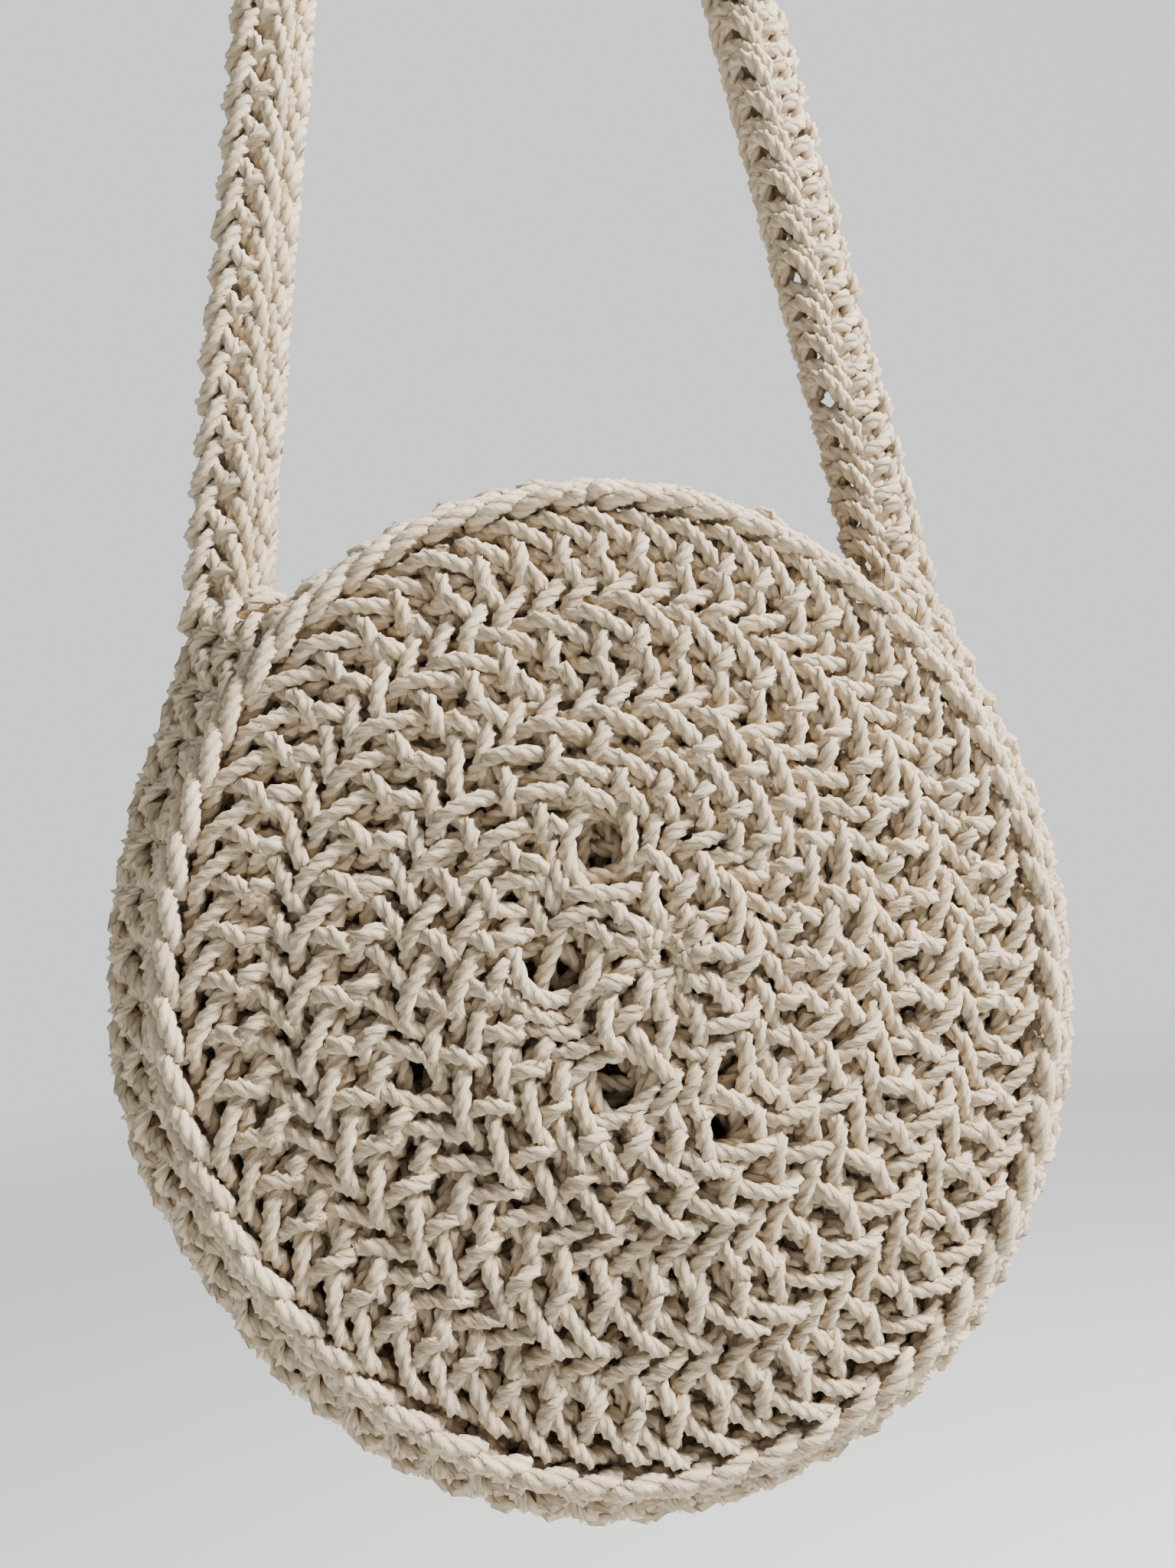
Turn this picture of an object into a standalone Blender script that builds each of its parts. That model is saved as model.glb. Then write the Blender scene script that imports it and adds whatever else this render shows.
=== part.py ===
"""Round crocheted shoulder bag of thick cotton cord, hanging by its strap.

Metres, +Z up, the front faces -Y. The origin is the hang point: the top of the strap's loop, on its inner
side, where a peg would carry it. Angles on the round faces run clockwise from the top as seen from the front.
"""

import math

import bmesh
import bpy
from mathutils import Vector

# Driving dimensions in metres
CORD = 0.005
FACE_HALF_WIDTH = 0.116
FACE_HALF_HEIGHT = 0.1285
BAG_DEPTH = 0.050
FRONT_BULGE = 0.015
BACK_BULGE = 0.006
PANEL_WALL = 0.0085
ROUND_RELIEF = 0.0022
BRAID_HALF_WIDTH = 0.0048
BRAID_HALF_DEPTH = 0.0044
GUSSET_WALL = 0.0075
GUSSET_BULGE = 0.0165
GUSSET_RELIEF = 0.0016
GUSSET_FLARE = 0.0075
GUSSET_BOWED_SHARE = 0.93
STRAP_WIDTH = 0.022
STRAP_THICKNESS = 0.0090
STRAP_RELIEF = 0.0012
STRAP_EDGE_EASE = 0.62
STRAP_END_WIDTH = 0.011
STRAP_END_THICKNESS = 0.021
STRAP_END_LENGTH = 0.024
HANG_HEIGHT = 0.655
PEG_RADIUS = 0.012
SEAM_GAP = 0.0003
CENTRE_HOLE = 0.0042
ROUNDS_ACROSS = 0.007
ROUNDS_UP = 0.0047

# Angles in degrees
MOUTH_HALF_ANGLE = 43.0
FLARE_ANGLE = 20.0

# Counts
PANEL_STEPS = 48
GUSSET_STEPS = 50
BRAID_STEPS = 60
BRAID_SIDES = 8
STRAP_LEG_STEPS = 18
PEG_STEPS = 8
STRAP_ROWS = 4
GUSSET_ROWS = 5

COTTON_ROUGHNESS = 0.95

# Where each round of stitches ends, as shares of the face's radius. The last one meets the edge braid.
ROUND_ENDS = (0.270, 0.555, 0.785, 1.0)

# The hand-made outline is a little out of true.
# angle, share of the half size there
OUTLINE = (
    (0, 0.995),
    (45, 0.989),
    (90, 0.993),
    (135, 1.007),
    (180, 0.995),
    (225, 0.976),
    (270, 1.009),
    (315, 1.020),
)

# Holes between the stitches of the front
# angle, share of the face's radius, width in cord diameters
FRONT_HOLES = (
    (336, 0.248, 1.7),
    (271, 0.235, 1.7),
    (208, 0.271, 1.5),
    (295, 0.318, 0.9),
    (148, 0.274, 0.9),
    (135, 0.341, 0.8),
    (162, 0.346, 0.8),
    (253, 0.556, 0.7),
)
HOLE_SIDES = 8

# Where a panel has rings of points within each round, and the strap has sections within each end, as shares
ROUND_STEPS = (0.3, 0.7)
STRAP_END_STEPS = (0, 0.25, 0.5, 0.75, 1)

# How the strap's width turns about its length, from its left end to its right end
# share of the strap's length, turn in degrees
STRAP_TURN = (
    (0.00, 0),
    (0.20, 6),
    (0.38, 50),
    (0.50, 90),
    (0.62, 118),
    (0.80, 150),
    (0.90, 168),
    (1.00, 180),
)


def smooth(share):
    return share * share * (3 - 2 * share)


def read_table(rows, place, period=None):
    """Value of a two-column table at a place, eased between its rows."""
    if period:
        place %= period
        rows = rows + ((rows[0][0] + period, rows[0][1]),)
    for (low, first), (high, second) in zip(rows, rows[1:]):
        if place <= high:
            return first + (second - first) * smooth((place - low) / (high - low))
    return rows[-1][1]


def face_centre_z():
    return -HANG_HEIGHT


def rim_point(angle, out, y):
    """Point at an angle round the face, out metres outside the middle line of the edge braid."""
    share = read_table(OUTLINE, angle, 360)
    turn = math.radians(angle)
    x = (FACE_HALF_WIDTH * share + out) * math.sin(turn)
    z = (FACE_HALF_HEIGHT * share + out) * math.cos(turn)
    return Vector((x, y, face_centre_z() + z))


def panel_edge_share():
    """Share of the face's radius at which a panel stops, a gap short of the edge braid."""
    return 1 - (BRAID_HALF_WIDTH + SEAM_GAP) / FACE_HALF_WIDTH


def panel_middle(angle, share):
    """Place on a panel, seen from the front. The rounds start a little right of and above the middle."""
    reach = read_table(OUTLINE, angle, 360) * share
    turn = math.radians(angle)
    x = FACE_HALF_WIDTH * reach * math.sin(turn) + ROUNDS_ACROSS * (1 - share)
    z = FACE_HALF_HEIGHT * reach * math.cos(turn) + ROUNDS_UP * (1 - share)
    return x, face_centre_z() + z


def panel_y(share, bulge):
    """Height of a panel's middle surface over its braid's plane: a dome with one low ridge to each round."""
    inner = 0
    for outer in ROUND_ENDS:
        if share <= outer:
            break
        inner = outer
    along = min((share - inner) / (outer - inner), 1)
    relief = ROUND_RELIEF * math.sin(math.pi * along)
    return bulge * (1 - share * share) + relief - ROUND_RELIEF / 2


def panel_shares():
    """Shares of the radius where a panel has its rings: three to each round of stitches."""
    shares = [CENTRE_HOLE / 2 / FACE_HALF_WIDTH]
    inner = 0
    for outer in ROUND_ENDS:
        if inner:
            shares.append(inner)
        shares += [inner + (outer - inner) * step for step in ROUND_STEPS]
        inner = outer
    return shares + [panel_edge_share()]


def material(name, colour, roughness):
    made = bpy.data.materials.new(name)
    made.use_nodes = True
    shader = made.node_tree.nodes["Principled BSDF"]
    shader.inputs["Base Color"].default_value = (*colour, 1)
    shader.inputs["Roughness"].default_value = roughness
    shader.inputs["Metallic"].default_value = 0
    return made


def add_object(name, mesh, collection, colour):
    mesh.name = name
    mesh.shade_smooth()
    made = bpy.data.objects.new(name, mesh)
    made.data.materials.append(material(name + "_cotton", colour, COTTON_ROUGHNESS))
    collection.objects.link(made)
    return made


def add_wall(thing, thickness):
    wall = thing.modifiers.new("wall", "SOLIDIFY")
    wall.thickness = thickness
    wall.offset = 0
    wall.use_even_offset = True
    wall.use_quality_normals = True


def spun_disc(radii, steps):
    """Flat disc with a centre hole, spun about the Y axis from a row of points along X."""
    bm = bmesh.new()
    row = [bm.verts.new((radius, 0, 0)) for radius in radii]
    edges = [bm.edges.new(pair) for pair in zip(row, row[1:])]
    bmesh.ops.spin(
        bm,
        geom=row + edges,
        cent=(0, 0, 0),
        axis=(0, 1, 0),
        dvec=(0, 0, 0),
        angle=math.radians(360),
        steps=steps,
        use_merge=True,
        use_duplicate=False,
    )
    bmesh.ops.remove_doubles(bm, verts=bm.verts, dist=1e-6)
    return bm


def finish_sheet(bm):
    bmesh.ops.recalc_face_normals(bm, faces=bm.faces)
    mesh = bpy.data.meshes.new("sheet")
    bm.to_mesh(mesh)
    bm.free()
    return mesh


def make_panel(name, side, bulge, collection, colour):
    """Round panel of four rounds of stitches, on the side -1 for the front or 1 for the back."""
    bm = spun_disc(panel_shares(), PANEL_STEPS)
    for vertex in bm.verts:
        share = math.hypot(vertex.co.x, vertex.co.z)
        angle = math.degrees(math.atan2(vertex.co.x, vertex.co.z))
        vertex.co.x, vertex.co.z = panel_middle(angle, share)
        vertex.co.y = side * (BAG_DEPTH / 2 + panel_y(share, bulge))
    panel = add_object(name, finish_sheet(bm), collection, colour)
    add_wall(panel, PANEL_WALL)
    return panel


def cut_front_holes(panel, cutters):
    """Round holes through the front, square to the wall behind it."""
    for number, (angle, share, width) in enumerate(FRONT_HOLES, 1):
        bm = bmesh.new()
        bmesh.ops.create_cone(
            bm,
            cap_ends=True,
            segments=HOLE_SIDES,
            radius1=width * CORD / 2,
            radius2=width * CORD / 2,
            depth=BAG_DEPTH,
        )
        mesh = bpy.data.meshes.new("hole")
        bm.to_mesh(mesh)
        bm.free()
        cutter = bpy.data.objects.new(f"hole_{number}", mesh)
        x, z = panel_middle(angle, share)
        cutter.location = (x, -BAG_DEPTH / 2 - FRONT_BULGE, z)
        cutter.rotation_euler = (math.radians(90), math.radians(360 / HOLE_SIDES / 2), 0)
        cutter.hide_render = True
        cutter.display_type = "WIRE"
        cutters.objects.link(cutter)
        cut = panel.modifiers.new(f"hole_{number}", "BOOLEAN")
        cut.operation = "DIFFERENCE"
        cut.solver = "EXACT"
        cut.object = cutter


def make_braid(name, side, collection, colour):
    """Edge braid: a ring of oval section on the seam between a panel and the gusset."""
    bpy.ops.mesh.primitive_torus_add(
        major_segments=BRAID_STEPS,
        minor_segments=BRAID_SIDES,
        major_radius=1,
        minor_radius=0.25,
        rotation=(math.radians(90), 0, 0),
    )
    made = bpy.context.object
    mesh = made.data
    mesh.transform(made.matrix_world)
    bpy.data.objects.remove(made)
    for vertex in mesh.vertices:
        x, y, z = vertex.co
        out = (math.hypot(x, z) - 1) / 0.25 * BRAID_HALF_WIDTH
        angle = math.degrees(math.atan2(x, z))
        vertex.co = rim_point(angle, out, side * BAG_DEPTH / 2 + y / 0.25 * BRAID_HALF_DEPTH)
    return add_object(name, mesh, collection, colour)


def gusset_flare(angle):
    """How far the gusset's ends swing outwards to meet the strap."""
    away = min(angle, 360 - angle) - MOUTH_HALF_ANGLE
    return GUSSET_FLARE * smooth(max(0, 1 - away / FLARE_ANGLE))


def gusset_out(across, angle):
    """Reach of the gusset's middle surface outside the braid line, at a share across from -1 to 1."""
    across = max(-1, min(1, across / GUSSET_BOWED_SHARE))
    row = (across + 1) / 2 * GUSSET_ROWS
    relief = GUSSET_RELIEF * abs(math.sin(math.pi * row))
    arc = 1 - across * across
    bow = GUSSET_BULGE * (arc + arc * arc) / 2
    return bow + relief + gusset_flare(angle)


def gusset_step():
    """Degrees between the gusset's sections."""
    return (360 - 2 * MOUTH_HALF_ANGLE) / GUSSET_STEPS


def make_gusset(collection, colour):
    """Bowed band round the sides and bottom, with a low ridge along each row of stitches."""
    half = BAG_DEPTH / 2 - BRAID_HALF_DEPTH - SEAM_GAP
    points = 2 * GUSSET_ROWS
    shares = [GUSSET_BOWED_SHARE * (2 * step / points - 1) for step in range(points + 1)]
    shares = [-1, *shares, 1]
    bm = bmesh.new()
    rows = []
    for step in range(GUSSET_STEPS + 1):
        angle = MOUTH_HALF_ANGLE + gusset_step() * step
        rows.append([bm.verts.new(rim_point(angle, gusset_out(s, angle), s * half)) for s in shares])
    for first, second in zip(rows, rows[1:]):
        for a, b, c, d in zip(first, first[1:], second[1:], second):
            bm.faces.new((a, b, c, d))
    gusset = add_object("gusset", finish_sheet(bm), collection, colour)
    add_wall(gusset, GUSSET_WALL)
    return gusset


def strap_seat(side):
    """Middle of a strap end, a gap off the gusset's end, and the way out of the gusset's wall there."""
    end = rim_point(side * MOUTH_HALF_ANGLE, gusset_out(0, MOUTH_HALF_ANGLE), 0)
    next_angle = MOUTH_HALF_ANGLE + gusset_step()
    further = rim_point(side * next_angle, gusset_out(0, next_angle), 0)
    off = (end - further).normalized()
    outward = Vector((side * off.z, 0, -side * off.x))
    return end + SEAM_GAP * off, outward


def strap_route():
    """Middle line from the left end over the peg to the right end, as points with unit tangents."""
    left, right = strap_seat(-1)[0], strap_seat(1)[0]
    bend = PEG_RADIUS + STRAP_THICKNESS / 2
    centre = Vector((0, 0, -PEG_RADIUS))

    def leaving(end):
        """Angle from the top at which the straight run to an end leaves the arc over the peg."""
        reach = end - centre
        return math.atan2(abs(reach.x), reach.z) - math.acos(bend / reach.length)

    arcs = [leaving(left), leaving(right)]
    runs = []
    for sign, end, arc in ((-1, left, arcs[0]), (1, right, arcs[1])):
        tangent_point = centre + bend * Vector((sign * math.sin(arc), 0, math.cos(arc)))
        runs.append((tangent_point, (end - tangent_point).length))
    length_left = runs[0][1]
    length_arc = bend * (arcs[0] + arcs[1])
    length_right = runs[1][1]
    total = length_left + length_arc + length_right

    def at(distance):
        if distance < length_left:
            share = distance / length_left
            return left.lerp(runs[0][0], share), (runs[0][0] - left).normalized()
        distance -= length_left
        if distance < length_arc:
            turned = distance / bend - arcs[0]
            point = centre + bend * Vector((math.sin(turned), 0, math.cos(turned)))
            return point, Vector((math.cos(turned), 0, -math.sin(turned)))
        share = (distance - length_arc) / length_right
        return runs[1][0].lerp(right, share), (right - runs[1][0]).normalized()

    return at, total, length_left, length_arc


def even_steps(start, stop, steps):
    """Places after the start, up to the stop, an even step apart."""
    return [start + (stop - start) * step / steps for step in range(1, steps + 1)]


def strap_stations(total, length_left, length_arc):
    """Distances of the strap's sections: close at both ends and over the peg, wide apart between."""
    ends = [STRAP_END_LENGTH * share for share in STRAP_END_STEPS]
    stations = list(ends)
    stations += even_steps(ends[-1], length_left, STRAP_LEG_STEPS)
    stations += even_steps(length_left, length_left + length_arc, PEG_STEPS)
    stations += even_steps(length_left + length_arc, total - ends[-1], STRAP_LEG_STEPS)
    stations += [total - end for end in reversed(ends[:-1])]
    return stations


def strap_section(half_width, half_thickness, relief):
    """Closed outline across the strap: one low ridge on each face for every row of stitches."""
    points = []
    count = 2 * STRAP_ROWS
    for face in (1, -1):
        for step in range(count + 1):
            share = 2 * step / count - 1
            ridge = relief if step % 2 else -relief
            ease = STRAP_EDGE_EASE if step in (0, count) else 1
            points.append((face * share * half_width, face * (half_thickness + ridge) * ease))
    return points


def strap_frame(distance, total, tangent):
    """Directions of the strap's width and thickness at a distance, set by the gusset's wall at the ends."""
    inward = Vector((tangent.z, 0, -tangent.x))
    turn = math.radians(read_table(STRAP_TURN, distance / total))
    across = math.cos(turn) * inward + math.sin(turn) * Vector((0, 1, 0))
    depth = across.cross(tangent).normalized()
    from_end = min(distance, total - distance) / STRAP_END_LENGTH
    if from_end < 1:
        outward = strap_seat(-1 if distance < total / 2 else 1)[1]
        seat = outward if outward.dot(across) > 0 else -outward
        across = seat.lerp(across, smooth(from_end)).normalized()
        depth = Vector((0, math.copysign(1, depth.y), 0))
    return across, depth, smooth(min(from_end, 1))


def make_strap(collection, colour):
    """Band lofted between unlike sections: wide and flat on its way, narrow and deep at the gusset."""
    at, total, length_left, length_arc = strap_route()
    bm = bmesh.new()
    rings = []
    for distance in strap_stations(total, length_left, length_arc):
        point, tangent = at(distance)
        across, depth, share = strap_frame(distance, total, tangent)
        half_width = (STRAP_END_WIDTH * (1 - share) + STRAP_WIDTH * share) / 2
        half_thickness = (STRAP_END_THICKNESS * (1 - share) + STRAP_THICKNESS * share) / 2
        outline = strap_section(half_width, half_thickness, STRAP_RELIEF * share)
        rings.append([bm.verts.new(point + across * u + depth * v) for u, v in outline])
    for first, second in zip(rings, rings[1:]):
        for a, b, c, d in zip(first, first[1:] + first[:1], second[1:] + second[:1], second):
            bm.faces.new((a, b, c, d))
    bm.faces.new(rings[0])
    bm.faces.new(reversed(rings[-1]))
    return add_object("strap", finish_sheet(bm), collection, colour)


def new_collection(name):
    made = bpy.data.collections.new(name)
    bpy.context.scene.collection.children.link(made)
    return made


def main():
    for thing in list(bpy.data.objects):
        bpy.data.objects.remove(thing, do_unlink=True)
    bag = new_collection("crochet_handbag")
    cutters = new_collection("cutters")
    front = make_panel("front_panel", -1, FRONT_BULGE, bag, (0.56, 0.50, 0.40))
    cut_front_holes(front, cutters)
    make_panel("back_panel", 1, BACK_BULGE, bag, (0.54, 0.48, 0.38))
    make_gusset(bag, (0.52, 0.46, 0.36))
    make_braid("front_edge_braid", -1, bag, (0.60, 0.54, 0.44))
    make_braid("back_edge_braid", 1, bag, (0.58, 0.52, 0.42))
    make_strap(bag, (0.57, 0.51, 0.41))


main()
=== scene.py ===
import math

import bpy
import numpy as np
from mathutils import Matrix, Vector


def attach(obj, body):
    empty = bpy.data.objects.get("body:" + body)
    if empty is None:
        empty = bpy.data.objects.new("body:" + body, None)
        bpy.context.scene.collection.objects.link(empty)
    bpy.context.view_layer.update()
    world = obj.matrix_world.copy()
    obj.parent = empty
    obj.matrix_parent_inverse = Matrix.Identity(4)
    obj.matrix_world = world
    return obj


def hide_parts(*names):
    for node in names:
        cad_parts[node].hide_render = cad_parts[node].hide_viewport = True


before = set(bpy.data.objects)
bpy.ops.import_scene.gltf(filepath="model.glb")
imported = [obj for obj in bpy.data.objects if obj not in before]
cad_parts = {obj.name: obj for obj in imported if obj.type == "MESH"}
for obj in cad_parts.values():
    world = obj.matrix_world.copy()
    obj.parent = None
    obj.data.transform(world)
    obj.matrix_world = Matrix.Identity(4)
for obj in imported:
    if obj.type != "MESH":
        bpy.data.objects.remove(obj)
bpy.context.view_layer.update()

# Sizes of the bag in metres, as in the part's source
CORD = 0.005
FACE_HALF_WIDTH = 0.116
FACE_HALF_HEIGHT = 0.1285
BAG_DEPTH = 0.050
FRONT_BULGE = 0.015
BACK_BULGE = 0.006
PANEL_WALL = 0.0085
BRAID_HALF_WIDTH = 0.0048
BRAID_HALF_DEPTH = 0.0044
GUSSET_WALL = 0.0075
GUSSET_BULGE = 0.0165
GUSSET_FLARE = 0.0075
STRAP_WIDTH = 0.022
STRAP_THICKNESS = 0.009
STRAP_END_LENGTH = 0.024
HANG_HEIGHT = 0.655
PEG_RADIUS = 0.012
ROUNDS_ACROSS = 0.007
ROUNDS_UP = 0.0047
MOUTH_HALF_ANGLE = 43
FLARE_ANGLE = 20

# The cord: three plies, laid to the right, and how finely its surface is stepped
LAY = 0.0155
PLIES = 3
PLY_DIP = 0.28
PLY_SWELL = 1.04

# Rounds of the two panels: share of the radius where one meets the next
ROUND_EDGES = (0.045, 0.270, 0.555, 0.785)

# Rows of stitches in the rounds: inner and outer share, stitches, lean in pitches
PANEL_ROWS = (
    (0.045, 0.155, 11, 0.5),
    (0.150, 0.275, 11, -0.5),
    (0.270, 0.365, 25, 0.5),
    (0.360, 0.460, 25, -0.5),
    (0.455, 0.560, 25, -0.3),
    (0.555, 0.670, 42, 0.6),
    (0.665, 0.790, 42, -0.6),
    (0.785, 0.880, 58, 0.6),
    (0.875, 1.000, 58, -0.6),
)

# Face outline: angle from the top in degrees, share of the even oval
OUTLINE = (
    (0, 0.995),
    (45, 0.989),
    (90, 0.993),
    (135, 1.007),
    (180, 0.995),
    (225, 0.976),
    (270, 1.009),
    (315, 1.020),
)

# Holes left between the front's stitches: angle from the top, share of the radius, width in cords
FRONT_HOLES = (
    (336, 0.248, 1.7),
    (271, 0.235, 1.7),
    (208, 0.271, 1.5),
    (295, 0.318, 0.9),
    (148, 0.274, 0.9),
    (135, 0.341, 0.8),
    (162, 0.346, 0.8),
    (253, 0.556, 0.7),
)

# How the strap's width turns about its length: share of the length, degrees
STRAP_TURN = (
    (0.00, 0),
    (0.20, 6),
    (0.38, 50),
    (0.50, 90),
    (0.62, 118),
    (0.80, 150),
    (0.90, 168),
    (1.00, 180),
)

# One short stitch, in the same terms
SHORT_PITCH = 2.6
SHORT_HEIGHT = 3.0
SHORT_GUIDE = (
    (2.70, 2.25, -0.35), (1.90, 2.10, -1.10), (0.40, 0.40, -1.30), (-0.10, -0.20, -1.10),
    (-0.20, -0.75, -0.30), (-0.40, -0.70, 0.70), (-0.60, 0.00, 1.15), (-0.60, 1.70, 1.00),
    (-0.45, 2.50, 0.80), (-0.30, 2.85, 0.10), (-0.10, 2.50, -0.55), (0.20, 1.80, 0.10),
    (0.50, 0.60, 0.90), (0.50, 0.00, 1.10), (0.40, -0.70, 0.70), (0.40, -0.75, -0.40),
    (0.20, -0.10, -1.20), (-0.60, 1.40, -1.40), (-1.10, 2.00, -0.60), (-0.80, 2.30, 0.10),
    (0.10, 2.35, 0.30), (0.90, 2.50, 0.30), (1.20, 3.20, 0.35), (0.70, 3.70, 0.50),
    (-0.40, 3.45, 0.85), (-1.40, 3.10, 0.75), (-2.05, 2.95, 0.00), (-1.40, 3.00, -0.80),
    (-0.40, 3.35, -0.90), (0.70, 3.60, -0.45), (1.15, 3.10, -0.30), (0.80, 2.45, -0.35),
    (0.10, 2.25, -0.35),
)

# Links of cord: pitch, reach past the half pitch, sway and rise, in cords
BRAID_LINK = (2.5, 0.85, 0.34, 0.55)

# Rows of short stitches along the strap, and where its legs part from its top, in shares
STRAP_ROWS = 2
STRAP_REACH = 0.0130
STRAP_LEAN = (0.5, -0.5)
STRAP_PARTS = ((-1, 0.29), (0.28, 0.72), (0.71, 2))


def smooth(share):
    return share * share * (3 - 2 * share)


def read_table(rows, place, period=None):
    """Second column of a table at an array of places, eased between its rows."""
    places, values = np.array(rows, float).T
    if period:
        place = np.mod(place, period)
        places = np.append(places, places[0] + period)
        values = np.append(values, values[0])
    row = np.clip(np.searchsorted(places, place, side="right") - 1, 0, len(places) - 2)
    share = np.clip((place - places[row]) / (places[row + 1] - places[row]), 0, 1)
    return values[row] + (values[row + 1] - values[row]) * smooth(share)


def unit(vectors):
    return vectors / np.linalg.norm(vectors, axis=-1, keepdims=True)


def rounded(points, steps):
    """Curve through points: on each span the cubic whose slopes are half the chord past its ends."""
    ends = np.concatenate([[2 * points[0] - points[1]], points, [2 * points[-1] - points[-2]]])
    t = np.linspace(0, 1, steps, endpoint=False)[None, :, None]
    a, b, c, d = [ends[start : len(ends) - 3 + start][:, None, :] for start in range(4)]
    slope = (c - a) * t
    curve = (2 * a - 5 * b + 4 * c - d) * t * t + (3 * b - a - 3 * c + d) * t**3
    spans = 0.5 * (2 * b + slope + curve)
    return np.concatenate([spans.reshape(-1, 3), points[-1:]])


def even(points, spacing):
    """The same route with its points about one spacing apart, and its length."""
    run = np.concatenate([[0], np.cumsum(np.linalg.norm(np.diff(points, axis=0), axis=1))])
    places = np.linspace(0, run[-1], max(12, int(run[-1] / spacing)) + 1)
    return np.stack([np.interp(places, run, points[:, axis]) for axis in range(3)], axis=1), run[-1]


def pulled_tight(guide, first, last, rows, steps, pull):
    """One stitch of a fabric, pulled tight: (points of the cord in cords).

    The guide is a route through one stitch, whose neighbours are its copies one pitch along and
    one height up. Each step moves every point towards the middle of its two neighbours, against
    its own bending, and away from every stretch of cord nearer than one cord, in all copies. The
    pitch and height go from first to last meanwhile, and the cord slides round as it shortens.
    """
    spacing, near, thin, warm = 0.5, 0.95, 1.25, 120
    pitch, height = first
    points, length = even(rounded(np.array(guide), 12), spacing)
    points = points[:-1]
    middle = points[:, 1].mean()
    along, up = [grid.ravel() for grid in np.meshgrid(np.arange(-2, 3), rows, indexing="ij")]
    for step in range(steps):
        share = min(1, max(0, (step - warm) / (0.5 * steps)))
        wanted = [a + (b - a) * share for a, b in zip(first, last)]
        points *= (wanted[0] / pitch, wanted[1] / height, 1)
        middle *= wanted[1] / height
        pitch, height = wanted
        shift = np.array([-pitch, 0, 0])
        copies = np.stack([-along * pitch, up * height, 0 * along], axis=1)
        chain = np.concatenate([points[-2:] - shift, points, points[:2] + shift])
        inward = chain[1:-3] + chain[3:-1] - 2 * points
        unbend = 4 * chain[1:-3] + 4 * chain[3:-1] - 6 * points - chain[:-4] - chain[4:]
        away = points[:, None, None] - (points[None, :, None] + copies)
        gap = np.sqrt((away**2).sum(-1)) + 1e-9
        place = np.arange(len(points))
        apart = abs(place[:, None, None] - (place[None, :, None] + along * len(points)))
        own = max(2, int(1.3 * len(points) / length))
        meets = (gap < near) & ((apart > own) | (up != 0))
        push = np.einsum("ijk,ijkc->ic", np.where(meets, (near - gap) / gap, 0), away) * 0.225
        depth = points[:, 2]
        push[:, 2] -= 0.2 * np.clip(abs(depth) - thin, 0, None) * np.sign(depth)
        move = min(1, 0.15 + 0.85 * step / warm) * pull * inward + 0.06 * unbend + push
        move *= np.minimum(1, 0.1 / (np.linalg.norm(move, axis=1, keepdims=True) + 1e-9))
        points = points + move
        if step % 15 == 14:
            joined = rounded(np.concatenate([points, points[:1] + shift]), 4)
            points, length = even(joined, spacing)
            points = points[:-1]
        points[:, 1] -= points[:, 1].mean() - middle
    return points


def row_of_stitches(stitch, pitch, height, count, seed, unevenness):
    """Cord through a row of one stitch's copies, each eased a little out of place.

    Gives the way along in pitches, up as a share of the row and out in cords from the outer face.
    """
    drawn = np.random.RandomState(seed).uniform(-1, 1, (count + 1, 3)) * unevenness
    drawn[-1] = drawn[0]
    share = smooth(np.arange(len(stitch)) / len(stitch))[None, :, None]
    moved = drawn[:-1, None] * (1 - share) + drawn[1:, None] * share
    number = np.arange(count)[:, None]
    along = number - (stitch[None, :, 0] + moved[..., 0]) / pitch
    up = (stitch[None, :, 1] + moved[..., 1]) / height
    out = moved[..., 2] - stitch[None, :, 2]
    out = out + stitch[:, 2].min() - 0.5
    return along.ravel(), up.ravel(), out.ravel()


def face_outline(angle):
    return read_table(OUTLINE, angle, 360)


def rim_place(angle, out, y):
    """Points at angles round the face, out metres outside the middle line of the edge braid."""
    turn = np.radians(angle)
    share = face_outline(angle)
    x = (FACE_HALF_WIDTH * share + out) * np.sin(turn)
    z = (FACE_HALF_HEIGHT * share + out) * np.cos(turn) - HANG_HEIGHT
    return np.stack([x, y + 0 * x, z], axis=-1)


def panel_place(angle, share, lift, side, bulge):
    """Points of a panel: its dome is a parabola over the share of the radius, lift is along its normal."""
    turn = np.radians(angle)
    reach = face_outline(angle) * share
    slope = 2 * bulge * share / FACE_HALF_WIDTH
    level = bulge * (1 - share * share)
    stretch = lift * slope / np.sqrt(1 + slope * slope)
    x = (FACE_HALF_WIDTH * reach + stretch) * np.sin(turn) + ROUNDS_ACROSS * (1 - share)
    z = (FACE_HALF_HEIGHT * reach + stretch) * np.cos(turn) + ROUNDS_UP * (1 - share) - HANG_HEIGHT
    y = side * (BAG_DEPTH / 2 + level + lift / np.sqrt(1 + slope * slope))
    return np.stack([x, y, z], axis=-1)


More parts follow.
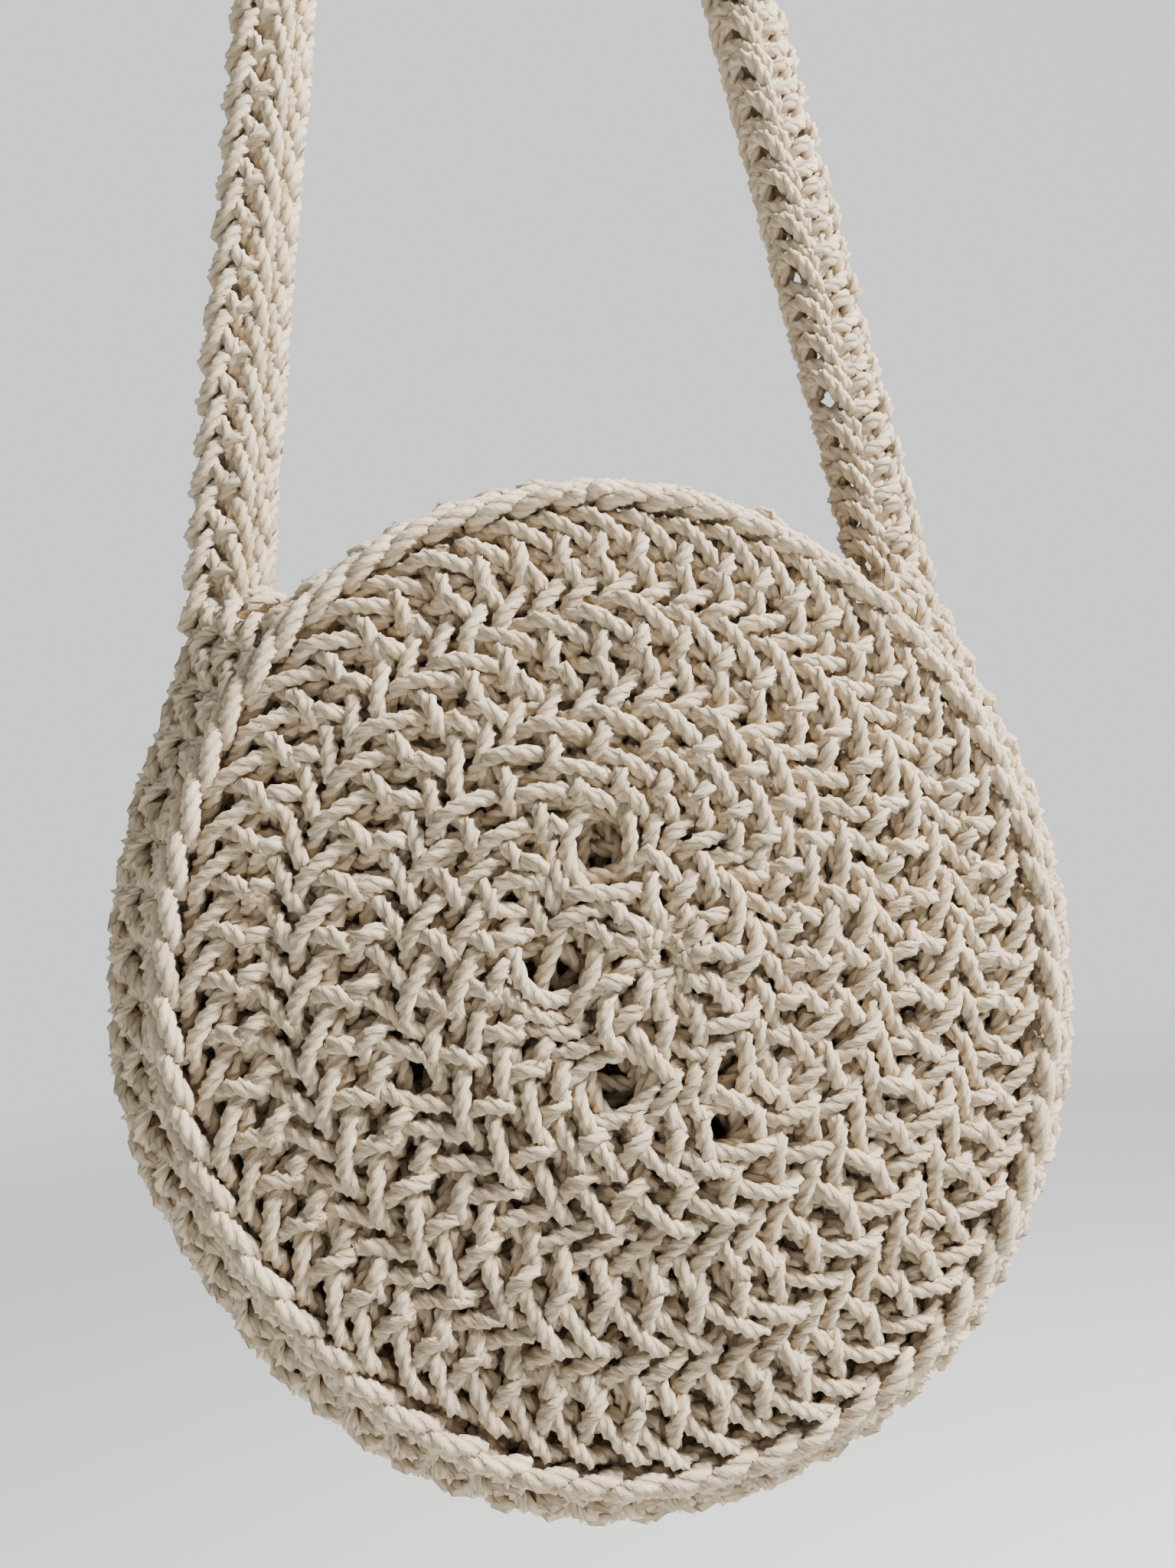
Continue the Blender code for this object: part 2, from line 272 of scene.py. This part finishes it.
def gusset_place(angle, share, lift):
    """Points of the gusset. Its section bows out as a parabola, and is read at an even share of its
    own length, with the lift square to it. Its two ends flare out to the strap."""
    half = BAG_DEPTH / 2 - BRAID_HALF_DEPTH
    flat = np.linspace(-1, 1, 161)
    section = np.stack([flat * half, GUSSET_BULGE * (1 - flat * flat)], axis=1)
    run = np.concatenate([[0], np.cumsum(np.linalg.norm(np.diff(section, axis=0), axis=1))])
    square = unit(np.stack([2 * GUSSET_BULGE * flat, 0 * flat + half], axis=1))
    place = np.clip(share, -0.2, 1.2) * run[-1]
    y, out, y_square, out_square = [np.interp(place, run, column) for column in (*section.T, *square.T)]
    away = np.minimum(angle, 360 - angle) - MOUTH_HALF_ANGLE
    flare = GUSSET_FLARE * smooth(np.clip(1 - away / FLARE_ANGLE, 0, 1))
    beyond = (place - np.clip(place, 0, run[-1])) * 0.5
    return rim_place(angle, out + flare + lift * out_square, y + lift * y_square + beyond)


def open_holes(points, holes):
    """Cord moved aside for the holes between stitches: pushed straight out from each hole's middle,
    by half the hole's width there and less with distance, as a bell curve."""
    for angle, share, width in holes:
        middle = panel_place(np.array([float(angle)]), np.array([share]), 0, -1, FRONT_BULGE)[0]
        away = points[:, (0, 2)] - middle[[0, 2]]
        far = np.linalg.norm(away, axis=1, keepdims=True) + 1e-9
        room = (width + 0.7) * CORD / 2
        push = room * np.exp(-((far / (2.0 * room)) ** 2))
        points[:, (0, 2)] += away / far * push
    return points


def strap_route():
    """Middle line of the strap as a function of distances: (points, tangents), and its length.

    Two straight legs from the gusset's ends to an arc over the peg.
    """
    ends = []
    for side in (-1, 1):
        angle = np.array([MOUTH_HALF_ANGLE * side % 360.0])
        ends.append(gusset_place(angle, np.array([0.5]), 0)[0])
    bend = PEG_RADIUS + STRAP_THICKNESS / 2
    centre = np.array([0, 0, -PEG_RADIUS])
    legs = []
    for side, end in zip((-1, 1), ends):
        reach = end - centre
        far = np.linalg.norm(reach)
        arc = math.atan2(abs(reach[0]), reach[2]) - math.acos(bend / far)
        top = centre + bend * np.array([side * math.sin(arc), 0, math.cos(arc)])
        legs.append((end, top, arc, np.linalg.norm(end - top)))
    (left, left_top, left_arc, left_run), (right, right_top, right_arc, right_run) = legs
    over = bend * (left_arc + right_arc)
    total = left_run + over + right_run

    def at(distance):
        distance = np.asarray(distance)[:, None]
        turned = np.clip((distance - left_run) / bend - left_arc, -left_arc, right_arc)
        arc_point = centre + bend * np.concatenate([np.sin(turned), 0 * turned, np.cos(turned)], 1)
        rise, fall = unit(left_top - left), unit(right - right_top)
        before = np.minimum(distance - left_run, 0)
        after = np.maximum(distance - left_run - over, 0)
        tangent = np.concatenate([np.cos(turned), 0 * turned, -np.sin(turned)], 1)
        tangent = np.where(before < 0, rise, np.where(after > 0, fall, tangent))
        return arc_point + before * rise + after * fall, tangent

    return at, total


def strap_place(at, total, distance, across, lift):
    """Points of the strap: across its width, which turns with the distance, and out of its face."""
    middle, tangent = at(distance)
    inward = np.stack([tangent[:, 2], 0 * distance, -tangent[:, 0]], axis=1)
    turn = np.radians(read_table(STRAP_TURN, distance / total))[:, None]
    width_way = np.cos(turn) * inward + np.sin(turn) * np.array([0, 1.0, 0])
    depth_way = unit(np.cross(width_way, tangent))
    return middle + width_way * across[:, None] + depth_way * lift[:, None]


def links(count, link, seed, unevenness):
    """Cord in links that overlap, as (along in links, across, out) in cords.

    A coil leaned along its way: on its outer half the cord sways across while it runs ahead by half
    a pitch and twice the reach, and on its inner half it comes straight back. Each link is eased a
    little out of place.
    """
    pitch, reach, sway, rise = link
    place = np.linspace(0, count, count * 20 + 1)
    drawn = np.random.RandomState(seed).uniform(-1, 1, (count + 2, 3)) * unevenness
    drawn[-2:] = drawn[:2]
    whole = place.astype(int)
    share = smooth(place - whole)[:, None]
    moved = drawn[whole] * (1 - share) + drawn[whole + 1] * share
    turn = 2 * math.pi * place
    along = place + (reach * np.sin(turn) + moved[:, 0]) / pitch
    return along, sway * np.sin(turn) + moved[:, 1], rise * np.cos(turn) + moved[:, 2]


def cord_frames(route):
    """Tangent and two normals that turn as little as they can, for each point of a route.

    The first normal is a fixed direction made square to the tangent. Its turn against the one
    carried over from the last point, by the reflection that takes one tangent to the next, is
    summed along the route and taken off.
    """
    tangent = unit(np.gradient(route, axis=0))
    guide = np.array([0.36, 0.48, 0.80])
    side = unit(guide - (tangent @ guide)[:, None] * tangent)
    other = np.cross(tangent, side)
    now, after = tangent[:-1], tangent[1:]
    carry = (side[:-1] * after).sum(1, keepdims=True) / (1 + (now * after).sum(1, keepdims=True))
    carried = side[:-1] - carry * (now + after)
    slip = np.arctan2((carried * other[1:]).sum(1), (carried * side[1:]).sum(1))
    turn = np.concatenate([[0], np.cumsum(slip)])[:, None]
    return tangent, np.cos(turn) * side + np.sin(turn) * other, np.cos(turn) * other - np.sin(turn) * side


def cord_piece(name, routes, spacing, columns, material, radius=CORD / 2):
    """Mesh of twisted cord carried along routes.

    At each point the section is a ring whose radius dips by a cosine between the plies, turned by one
    turn for each lay of cord. The UV map runs along the cord in lays, and round it in turns.
    """
    round_cord = 2 * math.pi * np.arange(columns) / columns
    section = PLY_SWELL - PLY_DIP * (1 + np.cos(PLIES * round_cord)) / 2
    places, faces, starts, uvs, first = [], [], [], [], 0
    for route in routes:
        route, length = even(rounded(route, 3), spacing)
        tangent, side, other = cord_frames(route)
        run = np.linspace(0, length / LAY, len(route))
        turn = run[:, None] + np.arange(columns + 1) / columns
        ring = 2 * math.pi * turn[:, :-1, None]
        reach = radius * section[None, :, None]
        ends = np.ones((len(route), 1, 1))
        ends[[0, -1]] = 0.35
        point = route[:, None] + ends * reach * (np.cos(ring) * side[:, None] + np.sin(ring) * other[:, None])
        places.append(point.reshape(-1, 3))
        row = np.arange(len(route) - 1)[:, None] * columns + first
        step = np.arange(columns)[None]
        after = (step + 1) % columns
        quads = np.stack([row + step, row + after, row + columns + after, row + columns + step], -1)
        uv = np.stack([run[:, None] + 0 * turn, turn], axis=-1)
        corner = np.stack([uv[:-1, :-1], uv[:-1, 1:], uv[1:, 1:], uv[1:, :-1]], axis=2)
        last = first + (len(route) - 1) * columns
        caps = [np.arange(columns)[::-1] + first, np.arange(columns) + last]
        faces += [quads.ravel(), *caps]
        uvs += [corner.reshape(-1, 2), uv[0, :-1][::-1], uv[-1, :-1]]
        starts += [np.full(quads.shape[0] * columns, 4), [columns, columns]]
        first = last + columns
    places, faces, uvs = np.concatenate(places), np.concatenate(faces), np.concatenate(uvs)
    sizes = np.concatenate(starts)
    mesh = bpy.data.meshes.new(name)
    mesh.vertices.add(len(places))
    mesh.vertices.foreach_set("co", places.ravel())
    mesh.loops.add(len(faces))
    mesh.loops.foreach_set("vertex_index", faces)
    mesh.polygons.add(len(sizes))
    mesh.polygons.foreach_set("loop_start", np.concatenate([[0], np.cumsum(sizes)[:-1]]))
    mesh.polygons.foreach_set("use_smooth", np.ones(len(sizes), bool))
    mesh.update(calc_edges=True)
    layer = mesh.uv_layers.new(name="cord")
    layer.data.foreach_set("uv", uvs.ravel())
    mesh.materials.append(material)
    made = bpy.data.objects.new(name, mesh)
    bpy.context.scene.collection.objects.link(made)
    print(name, "triangles", int((sizes - 2).sum()), "cord metres", round(len(places) / columns * spacing, 2))
    return made


class Value:
    """A shader socket that can be used in sums: each operator adds the Math node that it names."""

    def __init__(self, graph, socket):
        self.graph = graph
        self.socket = socket

    def maths(self, operation, *others):
        return self.graph.add("ShaderNodeMath", {"operation": operation}, [self, *others])

    def __add__(self, other):
        return self.maths("ADD", other)

    __radd__ = __add__

    def __mul__(self, other):
        return self.maths("MULTIPLY", other)

    __rmul__ = __mul__

    def __sub__(self, other):
        return self.maths("SUBTRACT", other)

    def __rsub__(self, other):
        return self.graph.add("ShaderNodeMath", {"operation": "SUBTRACT"}, [other, self])

    def __truediv__(self, other):
        return self.maths("DIVIDE", other)

    def between(self, low, high):
        """Share of the way from low to high, held to 0 and 1 and eased at both."""
        ways = {"interpolation_type": "SMOOTHSTEP"}
        return self.graph.add("ShaderNodeMapRange", ways, {"Value": self, "From Min": low, "From Max": high})


class Graph:
    """The nodes of one material or world."""

    def __init__(self, owner):
        owner.use_nodes = True
        self.tree = owner.node_tree

    def add(self, kind, settings=None, values=(), out=0):
        """A node of a kind: its settings first, then the values or links of its sockets."""
        node = self.tree.nodes.new(kind)
        for key, value in (settings or {}).items():
            setattr(node, key, value)
        pairs = values.items() if isinstance(values, dict) else enumerate(values)
        for key, value in pairs:
            self.put(node.inputs[key], value)
        return Value(self, node.outputs[out])

    def put(self, socket, value):
        if isinstance(value, Value):
            self.tree.links.new(value.socket, socket)
        else:
            socket.default_value = value

    def mix(self, share, first, second):
        """Colour between two colours."""
        settings = {"data_type": "RGBA"}
        return self.add("ShaderNodeMix", settings, {0: share, 6: first, 7: second}, out=2)


def cotton_cord(name, pale, deep, roughness=0.88):
    """Undyed cotton cord: fibres run along it, plies are parted by creases darkened with painted shade, seed
    specks lie in it.

    The map gives lays along the cord and turns round it. Noise is read on a cylinder, stretched
    along the cord, so that it has no seam. The crease is where three times the turn less the lay is whole.
    """
    material = bpy.data.materials.new(name)
    graph = Graph(material)
    shader = graph.tree.nodes["Principled BSDF"]
    place = graph.add("ShaderNodeSeparateXYZ", None, [graph.add("ShaderNodeUVMap", {"uv_map": "cord"})])
    along = place
    turns = Value(graph, place.socket.node.outputs[1])
    angle = turns * (2 * math.pi)
    east, north = angle.maths("COSINE"), angle.maths("SINE")

    def cylinder(around, forward):
        return graph.add("ShaderNodeCombineXYZ", None, [east * around, north * around, along * forward])

    def noise(around, forward, detail):
        values = {"Vector": cylinder(around, forward), "Scale": 1, "Detail": detail, "Roughness": 0.6}
        return graph.add("ShaderNodeTexNoise", None, values)

    fibres = noise(9.0, 2.2, 3)
    strands = noise(3.2, 1.2, 2)
    patches = noise(0.6, 0.45, 1)
    # Crease mask between the plies: it shapes the bump and carries the painted shade below
    crease = ((turns - along) * (2 * math.pi * PLIES)).maths("COSINE").between(0.45, 1)
    specks = {"Vector": cylinder(2.2, 8.0), "Scale": 1.0, "Randomness": 1.0}
    spots = graph.add("ShaderNodeTexVoronoi", None, specks)
    which = graph.add("ShaderNodeTexVoronoi", None, specks, out=1)
    chosen = graph.add("ShaderNodeSeparateXYZ", None, [which]).between(0.965, 0.97)
    seed = (1 - spots.between(0.16, 0.24)) * chosen
    tone = (0.30 * fibres + 0.35 * strands + 0.45 * patches - 0.05).between(0.25, 0.75)
    colour = graph.mix(tone, (*deep, 1), (*pale, 1))
    # Painted shade: the creases between the plies are darkened towards 0.55 of the deep colour
    colour = graph.mix(crease * 0.42, colour, (*[0.55 * part for part in deep], 1))
    colour = graph.mix(seed * 0.8, colour, (0.09, 0.055, 0.03, 1))
    height = fibres * 0.55 + strands * 0.45 - crease * 0.9
    bump = {"Strength": 0.75, "Distance": 0.0005, "Height": height}
    graph.put(shader.inputs["Base Color"], colour)
    graph.put(shader.inputs["Normal"], graph.add("ShaderNodeBump", None, bump))
    shader.inputs["Roughness"].default_value = roughness
    shader.inputs["Sheen Weight"].default_value = 0.15
    shader.inputs["Sheen Roughness"].default_value = 0.6
    shader.inputs["Specular IOR Level"].default_value = 0.2
    return material


GUSSET_ROWS = 5
BRAID_RADIUS = 0.0027

SHORT = (2.5, 2.35)
PANEL_UNEVENNESS = (0.34, 0.24, 0.26)


def panel_routes(side, bulge, rows, stitch, seed, holes=()):
    """Cord of some rows of a panel: each row's stitches lean over as they rise, and lie lower as a
    bell curve where one round meets the next."""
    routes = []
    for number, (inner, outer, count, lean) in enumerate(rows):
        along, up, out = row_of_stitches(stitch, *SHORT, count, seed + count, PANEL_UNEVENNESS)
        angle = -side * 360 * (along + lean * (up - 0.5)) / count + 37 * count
        share = np.maximum(inner + (outer - inner) * up, 0.03)
        low = np.exp(-(((share[:, None] - ROUND_EDGES) / 0.026) ** 2)).sum(1)
        lift = PANEL_WALL / 2 + (out - 0.45 * low) * CORD
        routes.append(open_holes(panel_place(angle, share, lift, side, bulge), holes))
    return routes


def gusset_routes(stitch, rows, count, seed):
    """Cord of the gusset: lengthwise rows of short stitches, each from one end to the other."""
    routes = []
    span = 360 - 2 * MOUTH_HALF_ANGLE
    for number in rows:
        along, up, out = row_of_stitches(stitch, *SHORT, count, seed + number, (0.18, 0.12, 0.15))
        angle = MOUTH_HALF_ANGLE + span * (along + 0.5) / count
        routes.append(gusset_place(angle, (number + up) / GUSSET_ROWS, GUSSET_WALL / 2 + out * CORD))
    return routes


def braid_routes(side, count, seed):
    """Cord of an edge braid: a line of links stands on the rim, and a second one lies behind it, half
    a link on."""
    routes = []
    for number, (reach, forward, shift) in enumerate(((-0.15, 0.25, 0.0), (0.20, -0.65, 0.5))):
        along, across, out = links(count, BRAID_LINK, seed + number, (0.12, 0.08, 0.10))
        angle = -side * 360 * (along + shift) / count
        y = side * (BAG_DEPTH / 2 + (out + forward) * CORD)
        routes.append(rim_place(angle, (across + reach) * CORD, y))
    return routes


def strap_routes(stitch, seed):
    """Cord of the strap: lengthwise rows of short stitches, side by side, as (distances, points)."""
    at, total = strap_route()
    count = round(total / (SHORT[0] * CORD))
    routes = []
    for number, lean in enumerate(STRAP_LEAN):
        along, up, out = row_of_stitches(stitch, *SHORT, count + 2, seed + number, (0.30, 0.18, 0.15))
        share = (along - 1 + lean * (up - 0.5)) / count
        across = ((number + up) / STRAP_ROWS - 0.5) * STRAP_REACH
        lift = (out - out.mean()) * 0.85 * CORD
        inside = (share > -0.010) & (share < 1.010)
        place = strap_place(at, total, share * total, across, lift)
        routes.append((share[inside], place[inside]))
    return routes


def strap_part(routes, part):
    """The stretch of each of the strap's cords between two shares of its length."""
    first, last = part
    return [place[np.searchsorted(share, first) : np.searchsorted(share, last)] for share, place in routes]


def make_floor():
    """Pale round floor well below the bag. It fades out with distance."""
    turn = np.linspace(0, 2 * math.pi, 64, endpoint=False)
    rim = [(12 * math.cos(t), 12 * math.sin(t), -1.25) for t in turn]
    mesh = bpy.data.meshes.new("floor")
    mesh.from_pydata(rim, [], [tuple(range(64))])
    material = bpy.data.materials.new("pale_floor")
    graph = Graph(material)
    place = graph.add("ShaderNodeTexCoord", out=3)
    far = graph.add("ShaderNodeVectorMath", {"operation": "LENGTH"}, [place], out=1)
    shader = graph.tree.nodes["Principled BSDF"]
    graph.put(shader.inputs["Alpha"], 1 - far.between(1.3, 5.0))
    shader.inputs["Base Color"].default_value = (0.80, 0.81, 0.80, 1)
    shader.inputs["Roughness"].default_value = 0.9
    mesh.materials.append(material)
    floor = bpy.data.objects.new("floor", mesh)
    bpy.context.scene.collection.objects.link(floor)


def area_light(name, place, target, size, watts, colour):
    """Square soft light at a place, turned to a target."""
    lamp = bpy.data.lights.new(name, "AREA")
    lamp.size = size
    lamp.energy = watts
    lamp.color = colour
    light = bpy.data.objects.new(name, lamp)
    bpy.context.scene.collection.objects.link(light)
    light.location = place
    light.rotation_euler = (Vector(target) - Vector(place)).to_track_quat("-Z", "Y").to_euler()


def make_light():
    """Pale surroundings, brighter behind the bag, and one soft light from the upper right in front."""
    world = bpy.data.worlds.new("studio")
    graph = Graph(world)
    way = graph.add("ShaderNodeTexCoord", out=0)
    behind = graph.add("ShaderNodeSeparateXYZ", None, [way], out=1).between(-0.8, 0.8)
    colour = graph.mix(behind, (0.40, 0.41, 0.42, 1), (1.10, 1.12, 1.11, 1))
    graph.put(graph.tree.nodes["Background"].inputs["Color"], colour)
    bpy.context.scene.world = world
    area_light("window", (1.25, -0.60, 0.40), (0, 0, -0.62), 0.5, 135, (1.0, 0.985, 0.96))
    area_light("side_fill", (-1.6, -1.4, -0.4), (0, 0, -0.62), 1.4, 2, (0.94, 0.97, 1.0))


CAMERA_PLACE = (-0.0564, -0.3527, -0.6292)
CAMERA_YAW = math.radians(-8.67)
CAMERA_PITCH = math.radians(4.22)
CAMERA_ROLL = math.radians(-5.63)
CAMERA_LENS = 29.0


def make_camera():
    """The camera at the photo's place and angle."""
    yaw, pitch, roll = CAMERA_YAW, CAMERA_PITCH, CAMERA_ROLL
    ahead = Vector((-math.sin(yaw) * math.cos(pitch), math.cos(yaw) * math.cos(pitch), math.sin(pitch)))
    level = Vector((math.cos(yaw), math.sin(yaw), 0))
    upward = level.cross(ahead)
    right = math.cos(roll) * level + math.sin(roll) * upward
    top = math.cos(roll) * upward - math.sin(roll) * level
    lens = bpy.data.cameras.new("camera")
    lens.lens = CAMERA_LENS
    lens.clip_start = 0.01
    camera = bpy.data.objects.new("camera", lens)
    bpy.context.scene.collection.objects.link(camera)
    turn = Matrix((right, top, -ahead)).transposed()
    camera.matrix_world = Matrix.Translation(CAMERA_PLACE) @ turn.to_4x4()
    bpy.context.scene.camera = camera


def dress(piece, slot, *nodes):
    """A finished piece rides with the bag and stands for CAD nodes. The slot is not used."""
    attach(piece, "root")
    if nodes:
        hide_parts(*nodes)


def main():
    face = cotton_cord("face_cotton", (0.74, 0.61, 0.43), (0.44, 0.33, 0.21))
    rim = cotton_cord("braid_cotton", (0.76, 0.63, 0.45), (0.46, 0.35, 0.23))
    short = pulled_tight(SHORT_GUIDE, (SHORT_PITCH, SHORT_HEIGHT), SHORT, (-1, 0, 1), 400, 0.08)
    front = panel_routes(-1, FRONT_BULGE, PANEL_ROWS, short, 1, FRONT_HOLES)
    back = panel_routes(1, BACK_BULGE, PANEL_ROWS, short, 11)
    dress(cord_piece("front_inner_rounds", front[:5], 0.0026, 9, face), "face_cord", "front_panel")
    dress(cord_piece("front_third_round", front[5:7], 0.0026, 9, face), "face_cord", "front_panel")
    dress(cord_piece("front_outer_round", front[7:], 0.0026, 9, face), "face_cord", "front_panel")
    dress(cord_piece("back_rounds", back, 0.0040, 6, face), "face_cord", "back_panel")
    for name, rows in (("gusset_back_rows", (3, 4)), ("gusset_front_rows", (0, 1, 2))):
        band = gusset_routes(short, rows, 48, 50)
        dress(cord_piece(name, band, 0.0028, 6, face), "gusset_cord", "gusset")
    front_rim = braid_routes(-1, 60, 70)
    back_rim = braid_routes(1, 60, 80)
    name = "front_braid_links"
    dress(cord_piece(name, front_rim, 0.0020, 9, rim, BRAID_RADIUS), "braid_cord", "front_edge_braid")
    name = "back_braid_links"
    dress(cord_piece(name, back_rim, 0.0024, 9, rim, BRAID_RADIUS), "braid_cord", "back_edge_braid")
    strap = strap_routes(short, 90)
    for name, part, spacing, columns in zip(
        ("strap_left_leg", "strap_top", "strap_right_leg"), STRAP_PARTS, (0.0025, 0.0036, 0.0025), (9, 6, 9)
    ):
        stretch = strap_part(strap, part)
        dress(cord_piece(name, stretch, spacing, columns, face), "strap_cord", "strap")
    make_floor()
    make_light()
    make_camera()


main()
